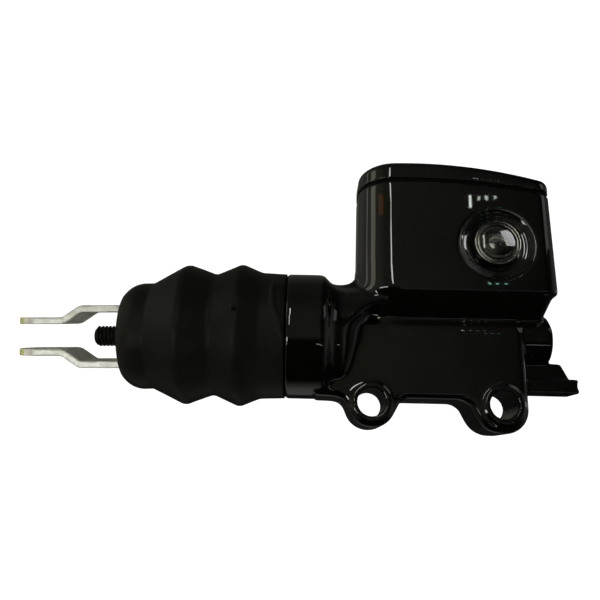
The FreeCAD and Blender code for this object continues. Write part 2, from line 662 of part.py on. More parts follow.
def clevis():
    """Strip bent into a fork: a base behind the boot's mouth and two arms that step in to the pin."""
    base_inner = CLEVIS_BASE_X - STRIP_T
    step = STRIP_T * math.tan(math.atan2(ROOT_HALF - TIP_HALF, JOGGLE_X1 - JOGGLE_X0) / 2)
    outer = [(TIP_X, TIP_HALF, 0), (JOGGLE_X0, TIP_HALF, 3.0), (JOGGLE_X1, ROOT_HALF, 4.6),
             (CLEVIS_BASE_X, ROOT_HALF, 3.2)]
    inner = [(TIP_X, TIP_HALF - STRIP_T, 0), (JOGGLE_X0 + step, TIP_HALF - STRIP_T, 5.6),
             (JOGGLE_X1 + step, ROOT_HALF - STRIP_T, 2.0), (base_inner, ROOT_HALF - STRIP_T, 0.6)]
    mirrored_outer = [(x, -s, r) for x, s, r in reversed(outer)]
    mirrored_inner = [(x, -s, r) for x, s, r in inner]
    section = outer + mirrored_outer + mirrored_inner + inner[::-1]
    y0 = AXIS_Y - STRIP_W / 2
    profile = Part.Face(rounded_wire(section, lambda x, s: V(x, y0, AXIS_Z + s)))
    strip = profile.extrude(V(0, STRIP_W, 0))
    half = STRIP_W / 2
    outline = rounded_wire(
        [(TIP_X, AXIS_Y - half, half - 0.01), (CLEVIS_BASE_X + 1, AXIS_Y - half, 0),
         (CLEVIS_BASE_X + 1, AXIS_Y + half, 0), (TIP_X, AXIS_Y + half, half - 0.01)],
        lambda x, y: V(x, y, AXIS_Z - 20))
    fork = strip.common(Part.Face(outline).extrude(V(0, 0, 40)))
    fork = fork.cut(cylinder_z(PIN_HOLE_R, AXIS_Z - 20, AXIS_Z + 20, PIN_X))
    fork = fork.cut(cylinder_x(THREAD_R + 0.03, -130, -100))
    return drooped(rolled(tidy(fork)))


# ---------------------------------------------------------------- boot
def stations_along(section):
    """Stations (x, r) along a section of (x, r, corner radius) corners, close enough for its curves."""
    low = min(r for _, r, _ in section) - 5
    closing = [(section[-1][0], low, 0), (section[0][0], low, 0)]
    wire = rounded_wire(list(section) + closing, lambda x, r: V(x, r, 0))
    stations = {}
    for edge in wire.Edges:
        count = 2 if isinstance(edge.Curve, Part.Line) else 5
        for point in edge.discretize(count):
            if point.y > low + 1:
                stations[round(point.x, 4)] = point.y
    return sorted(stations.items())


def boot_skin(section):
    """Closed solid through circles along an (x, r) section, its front end hanging with the pushrod."""
    wire = stations_along(section)
    reach = BOOT_SETTLED_X - (BOOT_X0 + 6)
    rings = []
    for x, r in wire:
        share = min(max((BOOT_SETTLED_X - x) / reach, 0.0), 1.0)
        ring = Part.Wire(Part.makeCircle(r, V(x, AXIS_Y, AXIS_Z), V(1, 0, 0)))
        rings.append(drooped(ring, share * share * (3 - 2 * share)))
    return Part.makeLoft(rings, True, True)


def boot():
    """Rubber bellows from the collar to the clevis, with two ridges and a mouth that grips the bush."""
    wall = BOOT_WALL
    ridge_wall = wall * 1.1
    band_x = BOOT_X0 + NOSE_BAND_X
    outer = boot_skin([
        (BOOT_X0, 17.0, 0),
        (BOOT_X0 + 3.4, NOSE_BAND_R + 0.1, 9.0),
        (band_x, NOSE_BAND_R, 2.5),
        (RIDGE_X[0], RIDGE_R[0], 2.2),
        (VALLEY_X, VALLEY_R, 3.0),
        (RIDGE_X[1], RIDGE_R[1], 2.2),
        (-65.2, COLLAR_R + 0.4, 7.0),
        (BOOT_X1, COLLAR_R, 0),
    ])
    inner = boot_skin([
        (BOOT_X0 + 5.9, POCKET_R, 0),
        (BOOT_X0 + 7.6, NOSE_BAND_R - wall, 1.0),
        (band_x, NOSE_BAND_R - wall, 2.0),
        (RIDGE_X[0], RIDGE_R[0] - ridge_wall, 1.6),
        (VALLEY_X, VALLEY_R - wall, 2.0),
        (RIDGE_X[1], RIDGE_R[1] - ridge_wall, 1.6),
        (-67.0, SPIGOT_R + 1.0, 2.0),
        (BEAD_X0 - 2.4, SPIGOT_R + 0.05, 0),
    ])
    cuff = turned_x(sharp([
        (BEAD_X0 - 2.5, 0), (BEAD_X0 - 2.5, SPIGOT_R + 0.05), (BEAD_X0 + 0.1, SPIGOT_R + 0.05),
        (BEAD_X0 + 0.1, SPIGOT_R - BEAD_DEPTH + 0.1), (BEAD_X1 - 0.1, SPIGOT_R - BEAD_DEPTH + 0.1),
        (BEAD_X1 - 0.1, SPIGOT_R + 0.05), (BOOT_X1 + 1, SPIGOT_R + 0.05), (BOOT_X1 + 1, 0)]))
    pocket = drooped(cylinder_x(POCKET_R, BOOT_X0 + 1.8, BOOT_X0 + 6.0))
    mouth = drooped(cylinder_x(MOUTH_RIM_R, BOOT_X0 - 5, BOOT_X0 + 3))
    return tidy(outer.cut([inner, cuff, pocket, mouth]))


def mouth_bush():
    """Nylon bush in the boot's mouth, in which the boot plate turns."""
    x0 = BOOT_X0 + 2.2
    x1 = PLATE_X1 + 1.2
    outer = POCKET_R - 0.3
    return drooped(turned_x(sharp([
        (x0, PLATE_R + 0.15), (x0, outer), (x1, outer), (x1, 12.6), (PLATE_X1 + 0.2, 12.6),
        (PLATE_X1 + 0.2, PLATE_R + 0.15)])))


NODES = {
    "body_casting": body_casting,
    "reservoir_cover": reservoir_cover,
    "cover_gasket": cover_gasket,
    "cover_screws": cover_screws,
    "sight_lens": sight_lens,
    "sight_bezel": sight_bezel,
    "sight_o_ring": sight_o_ring,
    "snap_ring": snap_ring,
    "stop_washer": stop_washer,
    "piston": piston,
    "secondary_cup": secondary_cup,
    "cup_shim": cup_shim,
    "primary_cup": primary_cup,
    "spring_seat": spring_seat,
    "return_spring": return_spring,
    "pushrod": pushrod,
    "jam_nut": jam_nut,
    "boot_plate": boot_plate,
    "clevis": clevis,
    "boot": boot,
    "mouth_bush": mouth_bush,
}

os.makedirs("parts", exist_ok=True)
for node, make in NODES.items():
    shape = make()
    shape.exportStep(f"parts/{node}.step")
    print(f"{node}: valid {shape.isValid()}, solids {len(shape.Solids)}, {shape.Volume:.0f} mm3")
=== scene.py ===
"""Looks of the brake master cylinder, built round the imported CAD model.

Row frame, in metres: the origin is midway between the mounting holes, +X along the bore to the outlet,
+Y out of the mounting face, +Z up to the reservoir's cover.
"""
import json
import math

import bmesh
import bpy
from mathutils import Matrix, Vector


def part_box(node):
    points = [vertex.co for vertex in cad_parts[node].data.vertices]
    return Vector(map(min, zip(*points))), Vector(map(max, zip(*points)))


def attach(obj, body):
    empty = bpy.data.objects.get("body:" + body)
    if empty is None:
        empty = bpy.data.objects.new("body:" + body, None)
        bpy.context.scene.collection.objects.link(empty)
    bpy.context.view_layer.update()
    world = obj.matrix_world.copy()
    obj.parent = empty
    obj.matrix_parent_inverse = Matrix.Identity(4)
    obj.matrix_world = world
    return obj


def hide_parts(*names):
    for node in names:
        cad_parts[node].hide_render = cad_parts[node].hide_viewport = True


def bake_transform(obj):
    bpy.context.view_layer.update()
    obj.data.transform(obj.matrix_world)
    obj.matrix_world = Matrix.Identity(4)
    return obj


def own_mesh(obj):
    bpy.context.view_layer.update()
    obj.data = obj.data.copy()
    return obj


MM = 0.001

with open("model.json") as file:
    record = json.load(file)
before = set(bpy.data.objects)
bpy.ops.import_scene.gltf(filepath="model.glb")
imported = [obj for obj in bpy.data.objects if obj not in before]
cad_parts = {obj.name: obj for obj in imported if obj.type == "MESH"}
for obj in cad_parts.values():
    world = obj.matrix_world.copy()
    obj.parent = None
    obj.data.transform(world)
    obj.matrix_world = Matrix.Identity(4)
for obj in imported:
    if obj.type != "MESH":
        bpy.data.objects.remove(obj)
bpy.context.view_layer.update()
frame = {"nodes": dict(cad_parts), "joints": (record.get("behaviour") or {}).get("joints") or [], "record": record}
nodes = frame["nodes"]
joints = {j["name"]: j for j in frame["joints"]}

# ---- places worked out from the frame ----
BALL = Vector(joints["pushrod_tilt"]["pos_m"])
SPIN_AXIS = Vector(joints["pushrod_spin"]["axis"]).normalized()
DROOP = math.atan2(SPIN_AXIS.z, SPIN_AXIS.x)
AXIS_Y = BALL.y
AXIS_Z = BALL.z
ROD_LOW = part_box("pushrod")[0]
BOOT_LOW, BOOT_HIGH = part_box("boot")
LENS_LOW, LENS_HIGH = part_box("sight_lens")
BEZEL_LOW, BEZEL_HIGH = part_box("sight_bezel")
SPRING_LOW, SPRING_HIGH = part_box("return_spring")
SIGHT = Vector(((LENS_LOW.x + LENS_HIGH.x) / 2, 0, (LENS_LOW.z + LENS_HIGH.z) / 2))
FORK_TIP_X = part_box("clevis")[0].x
RESERVOIR_FACE_Y = AXIS_Y - 18.5 * MM
slot_of = {s["node"]: s["material_slot"] for s in frame["record"]["subparts"]}

# ---- painted casting: boxes, in millimetres, where its surfaces run into each other in wide hollow
# curves, each with the margin it fades over and how often it is smoothed ----
BLEND_ZONES = [
    ((-38, -32, 26), (-18, 12, 46), 7, 160),
    ((-41, -32, 2), (-30, 12, 26), 4, 70),
    ((-30, -32, 31), (46, 12, 37), 3, 30),
]

# ---- sight glass ----
# LENS_R leaves the window a little loose in its ring
LENS_R = (LENS_HIGH.x - LENS_LOW.x) / 2 - 0.02 * MM
LENS_DOME_R = 19.5 * MM
SIGHT_EDGE_R = 0.10 * MM
TRAY_RING_R = (2.2 * MM, 3.4 * MM, 4.6 * MM, 5.6 * MM)
DISH_WIDE_R = 14.0 * MM
DISH_NARROW_R = 8.6 * MM
DISH_DEPTH = 2.9 * MM
DISH_STEPS = 5

# ---- boot ----
BOOT_X0 = BALL.x + (BOOT_LOW.x - BALL.x) / math.cos(DROOP)
BOOT_X1 = BOOT_HIGH.x
BOOT_SETTLED = -86 * MM
BOOT_SPLIT = -82.8 * MM
BOOT_WALL = 2.0 * MM
BOOT_MOUTH_R = 15.45 * MM
CREASE_X = -60.4 * MM
CREASE_LEAN = 0.16 * MM
CREASE_TURN = 16  # these three are angles in degrees, up from the front
CREASE_LOW = -14
CREASE_HIGH = 48
CREASE_WIDTH = 0.8 * MM
CREASE_RISE = 1.1 * MM
CREASE_FLAP = 0.45
VENT_X = -73.0 * MM
VENT_ANGLE = math.radians(8)

# ---- pushrod and spring ----
THREAD_PITCH = 25.4 * MM / 18
THREAD_R = 3.97 * MM
THREAD_DEPTH = 0.78 * MM
THREAD_END = -24 * MM
SHANK_R = 3.2 * MM
BALL_R = 5.5 * MM
SPRING_WIRE_R = 0.7 * MM
SPRING_COIL_R = 5.1 * MM
SPRING_TURNS = 7

# ---- camera and floor ----
CAMERA_AT = Vector((-46.1, -240.25, -21.7)) * MM
CAMERA_LENS = 36.3
CAMERA_PITCH = math.radians(15.015)
CAMERA_YAW = math.radians(-1.163)
CAMERA_ROLL = math.radians(1.445)
FLOOR_Z = -0.30
FLOOR_HALF = 40.0

# ---- studio: the way the reservoir's drafted wall faces, and the room's tones, each at a place from
# -1 to 1 along an axis ----
WALL_NORMAL = (0, -1, 0.0136)
ROOM_WHITE = 1.15
SOFT_LIGHT = [(-1.0, (10.0, 10.0, 8.6)), (-0.78, (4.6, 4.6, 3.9)), (-0.55, (0.6, 0.6, 0.5)),
              (-0.2, (0.12, 0.12, 0.11)), (0.2, (0.04, 0.04, 0.04))]
ROOM_SIDES = [(-1.0, (0.24, 0.24, 0.23)), (-0.88, (0.09, 0.09, 0.08)), (-0.75, (0.11, 0.11, 0.09)),
              (-0.6, (0.05, 0.05, 0.04)), (-0.45, (0.0, 0.0, 0.0)), (0.50, (0.0, 0.0, 0.0)),
              (0.80, (0.03, 0.03, 0.03)), (0.97, (0.18, 0.18, 0.18))]
ROOM_ACROSS = [(-0.5, (1.1, 1.1, 1.1)), (0.10, (1.15, 1.15, 1.1)), (0.20, (0.9, 0.9, 0.95)),
               (0.30, (0.5, 0.5, 0.6)), (0.45, (0.06, 0.06, 0.06))]
ROOM_AHEAD = [(-0.32, (0.001, 0.001, 0.001)), (-0.20, (0.105, 0.103, 0.078)), (0.5, (0.105, 0.103, 0.078)),
              (0.9, (0.05, 0.05, 0.05))]
ROOM_BEHIND = [(-0.85, (0.30, 0.30, 0.30)), (-0.62, (0.20, 0.20, 0.19)), (-0.50, (0.012, 0.012, 0.012)),
               (0.1, (0.012, 0.012, 0.012)), (0.35, (0.07, 0.07, 0.06)), (0.8, (0.07, 0.07, 0.06))]


# ---------------------------------------------------------------- helpers for meshes
def clamped(value):
    """The value held between 0 and 1."""
    return min(max(value, 0.0), 1.0)


def link(obj):
    """The object, put in the scene."""
    bpy.context.scene.collection.objects.link(obj)
    return obj


def mesh_object(name, verts, faces, slot, body=None):
    """A smooth-shaded mesh piece with a slot's finish, riding on a body if one is given."""
    mesh = bpy.data.meshes.new(name)
    mesh.from_pydata([tuple(v) for v in verts], [], faces)
    mesh.validate()
    bm = bmesh.new()
    bm.from_mesh(mesh)
    bmesh.ops.remove_doubles(bm, verts=bm.verts, dist=1e-7)
    bmesh.ops.recalc_face_normals(bm, faces=bm.faces)
    bm.to_mesh(mesh)
    bm.free()
    obj = link(bpy.data.objects.new(name, mesh))
    obj.data.materials.append(materials[slot])
    obj.data.shade_smooth()
    if body:
        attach(obj, body)
    return obj


def apply_modifiers(obj):
    """Leaves the mesh as its modifiers make it, with no modifier left."""
    bpy.context.view_layer.update()
    evaluated = obj.evaluated_get(bpy.context.evaluated_depsgraph_get())
    mesh = bpy.data.meshes.new_from_object(evaluated)
    obj.modifiers.clear()
    old = obj.data
    obj.data = mesh
    bpy.data.meshes.remove(old)


def smooth_zone(obj, low, high, fade, passes):
    """Smooths a mesh further inside a box, fading out over a margin round it."""
    group = obj.vertex_groups.new(name="zone")
    for v in obj.data.vertices:
        gaps = [max(low[i] - v.co[i], v.co[i] - high[i], 0.0) for i in range(3)]
        weight = 1.0 - math.sqrt(sum(g * g for g in gaps)) / fade
        if weight > 0:
            group.add([v.index], weight, "REPLACE")
    smooth = obj.modifiers.new("zone", "SMOOTH")
    smooth.factor = 0.5
    smooth.iterations = passes
    smooth.vertex_group = "zone"
    apply_modifiers(obj)
    obj.vertex_groups.clear()


def softened(node, name, voxel, passes, faces, body, zones=()):
    """A copy of a CAD node with the soft edges of a casting or a tumbled stamping."""
    obj = link(bpy.data.objects.new(name, nodes[node].data.copy()))
    weld = obj.modifiers.new("weld", "WELD")
    weld.merge_threshold = 1e-6
    remesh = obj.modifiers.new("remesh", "REMESH")
    remesh.mode = "VOXEL"
    remesh.voxel_size = voxel
    remesh.use_smooth_shade = True
    smooth = obj.modifiers.new("smooth", "SMOOTH")
    smooth.factor = 0.5
    smooth.iterations = passes
    apply_modifiers(obj)
    for low, high, fade, zone_passes in zones:
        smooth_zone(obj, low, high, fade, zone_passes)
    decimate = obj.modifiers.new("decimate", "DECIMATE")
    decimate.ratio = faces
    apply_modifiers(obj)
    obj.data.materials.clear()
    obj.data.materials.append(materials[slot_of[node]])
    obj.data.shade_smooth()
    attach(obj, body)
    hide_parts(node)


def ring_faces(rows, steps, first=0, closed=False):
    """Faces between rows of vertices, each row a ring of steps; closed joins the last row to the first."""
    faces = []
    for i in range(rows if closed else rows - 1):
        here = first + i * steps
        there = first + (i + 1) % rows * steps
        for k in range(steps):
            n = (k + 1) % steps
            faces.append((here + k, here + n, there + n, there + k))
    return faces


def lathe(rings, centre, axis, steps):
    """Vertices and faces of a surface turned about an axis through centre from (along, radius) points."""
    axis = axis.normalized()
    side = axis.orthogonal().normalized()
    up = axis.cross(side)
    verts = []
    for along, radius in rings:
        for k in range(steps):
            a = 2 * math.pi * k / steps
            verts.append(centre + axis * along + (side * math.cos(a) + up * math.sin(a)) * radius)
    return verts, ring_faces(len(rings), steps)


def rounded_section(corners, pieces):
    """Points along (u, v, radius) corners, with each corner turned as an arc of so many pieces."""
    points = [Vector(corners[0][:2])]
    for i in range(1, len(corners) - 1):
        here = Vector(corners[i][:2])
        radius = corners[i][2]
        before = (Vector(corners[i - 1][:2]) - here).normalized()
        after = (Vector(corners[i + 1][:2]) - here).normalized()
        half = before.angle(after) / 2
        if radius <= 0 or abs(half - math.pi / 2) < 1e-4:
            points.append(here)
            continue
        reach = radius / math.tan(half)
        centre = here + (before + after).normalized() * (radius / math.sin(half))
        start = here + before * reach - centre
        end = here + after * reach - centre
        turn = start.angle_signed(end)
        for k in range(pieces + 1):
            a = -turn * k / pieces
            points.append(centre + Vector((
                start.x * math.cos(a) - start.y * math.sin(a),
                start.x * math.sin(a) + start.y * math.cos(a))))
    points.append(Vector(corners[-1][:2]))
    return points


# ---------------------------------------------------------------- helpers for materials
def add_node(tree, kind, inputs=None, **settings):
    """A new node with its settings, and with each input given as a value or as another node's output."""
    node = tree.nodes.new(kind)
    for key, value in settings.items():
        setattr(node, key, value)
    for key, value in (inputs or {}).items():
        if isinstance(value, bpy.types.NodeSocket):
            tree.links.new(value, node.inputs[key])
        else:
            node.inputs[key].default_value = value
    return node


def add_ramp(tree, factor, stops):
    """Colour along a ramp of (place, colour) stops."""
    node = add_node(tree, "ShaderNodeValToRGB", {"Fac": factor})
    elements = node.color_ramp.elements
    while len(elements) < len(stops):
        elements.new(0.5)
    for element, (place, colour) in zip(elements, stops):
        element.position = place
        element.color = (*colour, 1)
    return node.outputs["Color"]


class Nodes:
    """A short way to write a material's nodes."""

    def __init__(self, name):
        self.material = bpy.data.materials.new(name)
        self.material.use_nodes = True
        self.tree = self.material.node_tree
        self.shader = self.tree.nodes["Principled BSDF"]

    def add(self, kind, inputs=None, **settings):
        return add_node(self.tree, kind, inputs, **settings)

    def coords(self):
        return self.add("ShaderNodeTexCoord").outputs["Object"]

    def stretched(self, scale):
        """Coordinates drawn out by a different factor along each axis."""
        return self.add("ShaderNodeMapping", {"Vector": self.coords(), "Scale": scale}).outputs["Vector"]

    def noise(self, scale, detail=3.0, rough=0.5, vector=None):
        inputs = {"Scale": scale, "Detail": detail, "Roughness": rough, "Vector": vector or self.coords()}
        return self.add("ShaderNodeTexNoise", inputs).outputs["Fac"]

    def ramp(self, factor, stops):
        return add_ramp(self.tree, factor, stops)

    def span(self, factor, low, high):
        """The factor, from 0 to 1, carried to a range of plain values."""
        inputs = {"Value": factor, "To Min": low, "To Max": high}
        return self.add("ShaderNodeMapRange", inputs).outputs["Result"]

    def bump(self, height, strength, distance, normal=None):
        inputs = {"Height": height, "Strength": strength, "Distance": distance}
        if normal:
            inputs["Normal"] = normal
        return self.add("ShaderNodeBump", inputs).outputs["Normal"]

    def set(self, **values):
        names = {"colour": "Base Color", "rough": "Roughness", "metal": "Metallic", "normal": "Normal",
                 "coat": "Coat Weight", "coat_rough": "Coat Roughness", "ior": "IOR",
                 "through": "Transmission Weight", "specular": "Specular IOR Level",
                 "glow": "Emission Color", "glow_strength": "Emission Strength"}
        for key, value in values.items():
            socket = self.shader.inputs[names[key]]
            if isinstance(value, bpy.types.NodeSocket):
                self.tree.links.new(value, socket)
            else:
                socket.default_value = value if not isinstance(value, tuple) else (*value, 1)
        return self.material


def gloss_paint(name, rough=0.018):
    """Thick gloss black paint over a casting: a faint swell under it and a little dust in it."""
    n = Nodes(name)
    swell = n.noise(110, 2.0)
    dust = n.noise(2600, 2.0)
    normal = n.bump(swell, 0.02, 0.0004, n.bump(dust, 0.01, 0.00004))
    colour = n.ramp(n.noise(90, 4.0), [(0.3, (0.0005, 0.0005, 0.0004)), (0.75, (0.0011, 0.0011, 0.0009))])
    return n.set(colour=colour, rough=n.span(n.noise(220, 3.0), rough * 0.8, rough * 1.5), normal=normal,
                 coat=0.3, coat_rough=0.02, ior=1.5)


def rubber(name, low=(0.0018, 0.0017, 0.0010), high=(0.0040, 0.0038, 0.0022), shine=0.3):
    """Black rubber with a cloudy bloom and a fine grain."""
    n = Nodes(name)
    bloom = n.noise(70, 5.0, 0.6)
    grain = n.noise(2400, 2.0)
    normal = n.bump(n.noise(420, 3.0), 0.12, 0.0002, n.bump(grain, 0.25, 0.00004))
    return n.set(colour=n.ramp(bloom, [(0.3, low), (0.75, high)]), rough=n.span(bloom, 0.38, 0.52),
                 normal=normal, specular=shine)


def metal(name, low, high, rough=(0.25, 0.4), grain=900, bump=0.1):
    """Metal with cloudy colour, uneven polish and a fine grain."""
    n = Nodes(name)
    clouds = n.noise(120, 4.0, 0.6)
    fine = n.noise(grain, 3.0)
    return n.set(colour=n.ramp(clouds, [(0.3, low), (0.72, high)]), rough=n.span(fine, *rough), metal=1.0,
                 normal=n.bump(fine, bump, 0.00006))


def turned_metal(name, low, high):
    """Metal with the fine rings a lathe leaves, round the bore axis."""
    n = Nodes(name)
    rings = n.noise(1.0, 2.0, vector=n.stretched((9000.0, 60.0, 60.0)))
    return n.set(colour=n.ramp(n.noise(140, 3.0), [(0.3, low), (0.7, high)]), rough=n.span(rings, 0.2, 0.34),
                 metal=1.0, normal=n.bump(rings, 0.2, 0.00003))


def zinc(name):
    """Zinc plate with rolling marks along the strip, and yellow-green where it covers the fork's tips."""
    n = Nodes(name)
    patches = n.noise(150, 5.0, 0.65)
    marks = n.noise(1.0, 3.0, vector=n.stretched((250.0, 3200.0, 3200.0)))
    plain = n.ramp(patches, [
        (0.25, (0.26, 0.26, 0.20)), (0.5, (0.40, 0.40, 0.36)), (0.8, (0.54, 0.54, 0.52))])
    along = n.add("ShaderNodeSeparateXYZ", {"Vector": n.coords()}).outputs["X"]
    tip = n.add("ShaderNodeMapRange", {
        "Value": along, "From Min": FORK_TIP_X + 4.0 * MM, "From Max": FORK_TIP_X + 5.0 * MM,
        "To Min": 0.95, "To Max": 0.0}).outputs["Result"]
    colour = n.add("ShaderNodeMix", {0: tip, 6: plain, 7: (0.30, 0.30, 0.08, 1)}, data_type="RGBA").outputs[2]
    normal = n.bump(marks, 0.12, 0.00006, n.bump(n.noise(900, 3.0), 0.12, 0.0001))
    return n.set(colour=colour, rough=n.span(marks, 0.24, 0.42), metal=0.45, normal=normal)


def lens_glass(name):
    """Clear moulded window, slightly olive from the tray behind it."""
    n = Nodes(name)
    tint = n.ramp(n.noise(300, 2.0), [(0.3, (0.80, 0.82, 0.70)), (0.7, (0.90, 0.91, 0.82))])
    return n.set(colour=tint, rough=n.span(n.noise(600, 2.0), 0.05, 0.10), through=1.0, ior=1.49,
                 normal=n.bump(n.noise(120, 2.0), 0.05, 0.0003))


def nylon(name):
    """Dull black nylon with a fine grain."""
    n = Nodes(name)
    grain = n.noise(1500, 2.0)
    return n.set(colour=n.ramp(n.noise(200, 3.0), [(0.3, (0.02, 0.02, 0.019)), (0.7, (0.032, 0.031, 0.03))]),
                 rough=n.span(grain, 0.45, 0.6), normal=n.bump(grain, 0.15, 0.00005))


materials = {
    "casting_paint": gloss_paint("casting_paint"),
    "cover_paint": gloss_paint("cover_paint", 0.024),
    # near-black rubber of the gasket; the vent's shallow recess also wears it as painted shade
    "gasket_rubber": rubber("gasket_rubber", (0.0004, 0.0004, 0.0004), (0.0009, 0.0009, 0.0007), 0.05),
    "screw_zinc": zinc("screw_zinc"),
    "sight_glass": lens_glass("sight_glass"),
    "bezel_chrome": metal("bezel_chrome", (0.28, 0.28, 0.25), (0.38, 0.38, 0.34), (0.10, 0.2), 700, 0.05),
    "seal_rubber": rubber("seal_rubber"),
    "ring_steel": metal("ring_steel", (0.30, 0.29, 0.27), (0.44, 0.43, 0.41)),
    "piston_aluminium": turned_metal("piston_aluminium", (0.58, 0.58, 0.58), (0.72, 0.72, 0.73)),
    "seat_brass": turned_metal("seat_brass", (0.55, 0.36, 0.12), (0.72, 0.50, 0.20)),
    "spring_steel": metal("spring_steel", (0.20, 0.20, 0.20), (0.34, 0.34, 0.35)),
    "rod_black_oxide": metal("rod_black_oxide", (0.012, 0.012, 0.012), (0.035, 0.034, 0.033), (0.3, 0.5)),
    "nut_zinc": zinc("nut_zinc"),
    "plate_zinc": zinc("plate_zinc"),
    "clevis_zinc": zinc("clevis_zinc"),
    "boot_rubber": rubber("boot_rubber", shine=0.13),
    "bush_nylon": nylon("bush_nylon"),
}
for node, obj in nodes.items():
    obj.data.materials.clear()
    obj.data.materials.append(materials[slot_of[node]])
    obj.data.shade_smooth()


# ---------------------------------------------------------------- painted castings
def painted_castings():
    """The body with wide hollow curves where its parts meet, and the reservoir's cover."""
    zones = []
    for low, high, fade, passes in BLEND_ZONES:
        zones.append((Vector(low) * MM, Vector(high) * MM, fade * MM, passes))
    softened("body_casting", "painted_casting", 0.45 * MM, 8, 0.35, "housing", zones)
    softened("reservoir_cover", "painted_cover", 0.4 * MM, 6, 0.4, "housing")


# ---------------------------------------------------------------- sight glass
def turned_piece(name, section, slot):
    """A piece turned about the sight glass axis from (y, r) points."""
    verts, faces = lathe([(p.x, max(p.y, 1e-6)) for p in section], SIGHT, Vector((0, 1, 0)), 128)
    return mesh_object(name, verts, faces, slot, "housing")


def sight_lens():
    """The domed window."""
    front, back = LENS_LOW.y, LENS_HIGH.y
    dome = []
    for k in range(13):
        slope = math.asin(LENS_R / LENS_DOME_R) * k / 12
        dome.append(Vector((front + LENS_DOME_R * (1 - math.cos(slope)), LENS_DOME_R * math.sin(slope))))
    foot = back - 2.4 * MM
    side = [Vector((dome[-1].x + 0.4 * MM, LENS_R)), Vector((foot, LENS_R)), Vector((foot, 0))]
    lens = turned_piece("sight_window", dome + side, "sight_glass")
    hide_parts("sight_lens")
    return lens


def sight_ring():
    """The plated ring round the window, with two thin ridges and a groove between them."""
    inner = LENS_R + 0.06 * MM
    outer = (BEZEL_HIGH.x - BEZEL_LOW.x) / 2
    edge = BEZEL_LOW.y
    section = rounded_section([
        (BEZEL_HIGH.y, inner),
        (edge + 0.6 * MM, inner, SIGHT_EDGE_R),
        (edge + 0.35 * MM, inner + 0.1 * MM, SIGHT_EDGE_R),
        (edge + 0.35 * MM, inner + 0.28 * MM, SIGHT_EDGE_R),
        (edge + 1.6 * MM, inner + 0.4 * MM, SIGHT_EDGE_R),
        (edge + 1.6 * MM, outer - 0.4 * MM, SIGHT_EDGE_R),
        (edge + 0.25 * MM, outer - 0.3 * MM, SIGHT_EDGE_R),
        (edge + 0.25 * MM, outer - 0.1 * MM, SIGHT_EDGE_R),
        (edge + 0.6 * MM, outer, SIGHT_EDGE_R),
        (BEZEL_HIGH.y, outer)], 4)
    ring = turned_piece("sight_ring", section + [section[0]], "bezel_chrome")
    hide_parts("sight_bezel")
    return ring


def sight_tray():
    """The dark tray behind the window, with fine raised rings."""
    back = LENS_HIGH.y
    floor_y = back - 1.5 * MM
    top_y = floor_y - 0.3 * MM
    corners = [(floor_y, 0)]
    for r in TRAY_RING_R:
        corners += [(floor_y, r, SIGHT_EDGE_R), (top_y, r + 0.1 * MM, SIGHT_EDGE_R),
                    (top_y, r + 0.35 * MM, SIGHT_EDGE_R), (floor_y, r + 0.45 * MM, SIGHT_EDGE_R)]
    corners += [(floor_y, 6.3 * MM, SIGHT_EDGE_R), (back, 6.4 * MM, SIGHT_EDGE_R), (back, 0)]
    return turned_piece("sight_tray", rounded_section(corners, 3), "gasket_rubber")


def sight_dish():
    """The fine turned steps of the dish that the window sits in."""
    edge_r = 0.12 * MM
    foot_y = RESERVOIR_FACE_Y + DISH_DEPTH + 1.2 * MM
    corners = [(RESERVOIR_FACE_Y + 0.3 * MM, DISH_WIDE_R + 0.15 * MM)]
    for k in range(DISH_STEPS):
        share = k / (DISH_STEPS - 1)
        r = DISH_WIDE_R + (DISH_NARROW_R - DISH_WIDE_R) * share
        y = RESERVOIR_FACE_Y + 0.25 * MM + (DISH_DEPTH - 0.3 * MM) * share ** 0.8
        corners.append((y - 0.2 * MM, r, edge_r))
        corners.append((y - 0.2 * MM, r - 0.35 * MM, edge_r))
        corners.append((y + 0.15 * MM, r - 0.55 * MM, edge_r))
    corners.append((foot_y, DISH_NARROW_R - 0.1 * MM, 0))
    corners.append((foot_y, DISH_WIDE_R * 0.8))
    section = rounded_section(corners, 3)
    return turned_piece("sight_dish_steps", section + [section[0]], "casting_paint")


# ---------------------------------------------------------------- boot
def boot_share(x):
    """Share of the pushrod's droop that the boot has taken up at x: 0 beside the collar, 1 at its mouth."""
    reach = BOOT_SETTLED - (BOOT_X0 + 6 * MM)
    share = clamped((BOOT_SETTLED - x) / reach)
    return share * share * (3 - 2 * share)


def hang(point, share):
    """A point turned about the ball's centre by a share of the droop."""
    return Matrix.Rotation(-DROOP * share, 3, "Y") @ (point - BALL) + BALL


def boot_outline():
    """Outer (x, r) outline of the boot, from its mouth to the collar."""
    return rounded_section([(x * MM + dx, r * MM, c * MM) for x, dx, r, c in [
        (0.0, BOOT_X0, 17.0, 0), (3.4, BOOT_X0, 20.5, 9.0), (10.6, BOOT_X0, 20.4, 2.5),
        (-93.5, 0, 27.1, 3.6), (-82.8, 0, 23.2, 3.6), (-72.8, 0, 27.5, 3.6), (-65.2, 0, 24.3, 7.0),
        (0.0, BOOT_X1, 23.9, 0)]], 8)


def densified(points, step):
    """The same line with points no further apart than step."""
    dense = [points[0]]
    for a, b in zip(points, points[1:]):
        count = max(1, math.ceil((b - a).length / step))
        for k in range(1, count + 1):
            dense.append(a.lerp(b, k / count))
    return dense


def radius_at(x):
    """Outer radius of the boot at x."""
    points = boot_outline()
    for a, b in zip(points, points[1:]):
        if a.x <= x <= b.x and b.x > a.x:
            return a.y + (b.y - a.y) * (x - a.x) / (b.x - a.x)
    return points[0].y if x < points[0].x else points[-1].y


